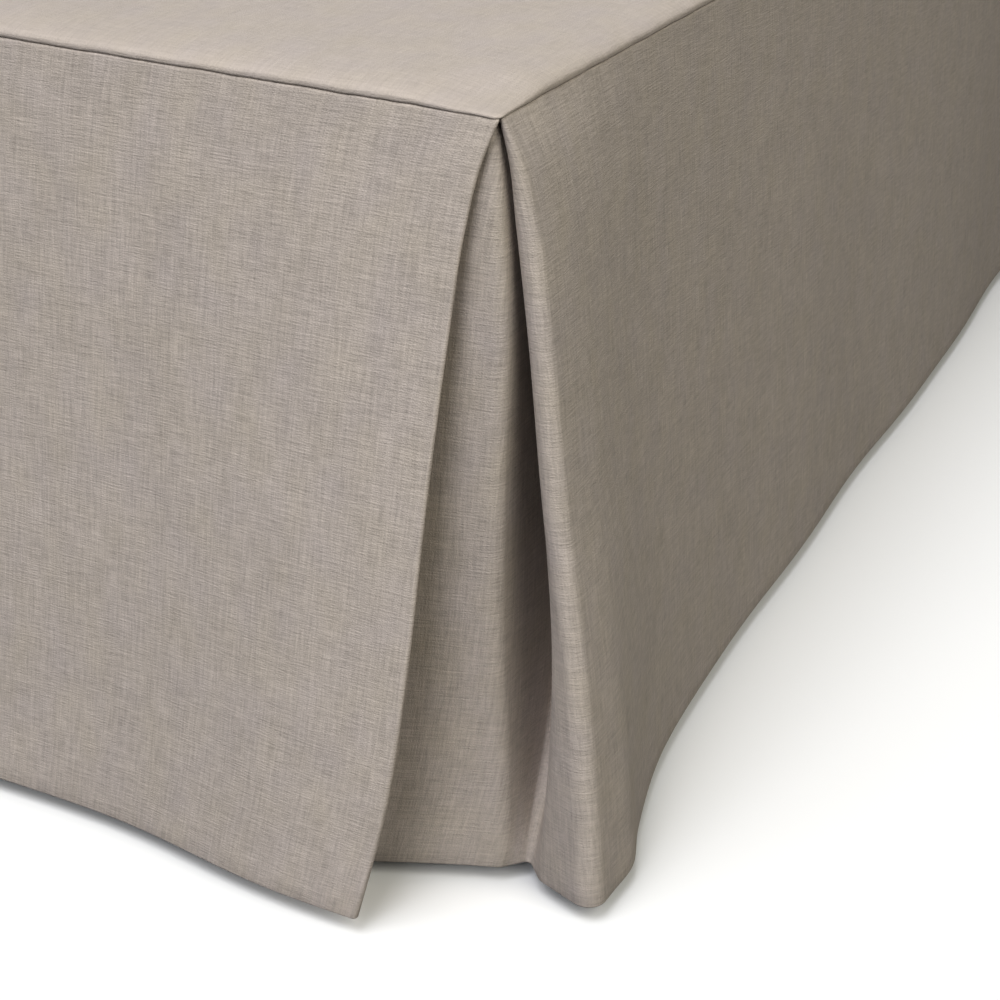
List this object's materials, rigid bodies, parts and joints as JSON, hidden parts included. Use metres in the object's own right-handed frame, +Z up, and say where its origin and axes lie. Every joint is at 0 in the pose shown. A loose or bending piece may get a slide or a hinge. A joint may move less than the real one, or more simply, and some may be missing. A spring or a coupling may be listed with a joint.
{
  "type": "bed skirt over a bed base",
  "caption": "Tailored linen bed skirt with an inverted pleat at each foot corner, falling to the floor on three sides of a plain box bed base on legs.",
  "frame": {"origin": "on the floor, under the middle of the whole object's bounding box", "axes": "+Y along the bed from the foot end to the open head end, +X to the right seen from the foot end, +Z up"},
  "size_m": [1.6645, 2.0881, 0.3995],
  "materials": {
    "linen": "greige plain-weave linen with slubs, matt",
    "ticking": "plain off-white upholstery cloth, matt",
    "leg_wood": "stained hardwood, satin"
  },
  "bodies": {
    "root": {"deck": "linen", "foot_drop": "linen", "side_drop_right": "linen", "side_drop_left": "linen", "base_box": "ticking", "leg_foot_right": "leg_wood", "leg_foot_left": "leg_wood", "leg_middle_right": "leg_wood", "leg_middle_left": "leg_wood", "leg_head_right": "leg_wood", "leg_head_left": "leg_wood"}
  },
  "joints": []
}
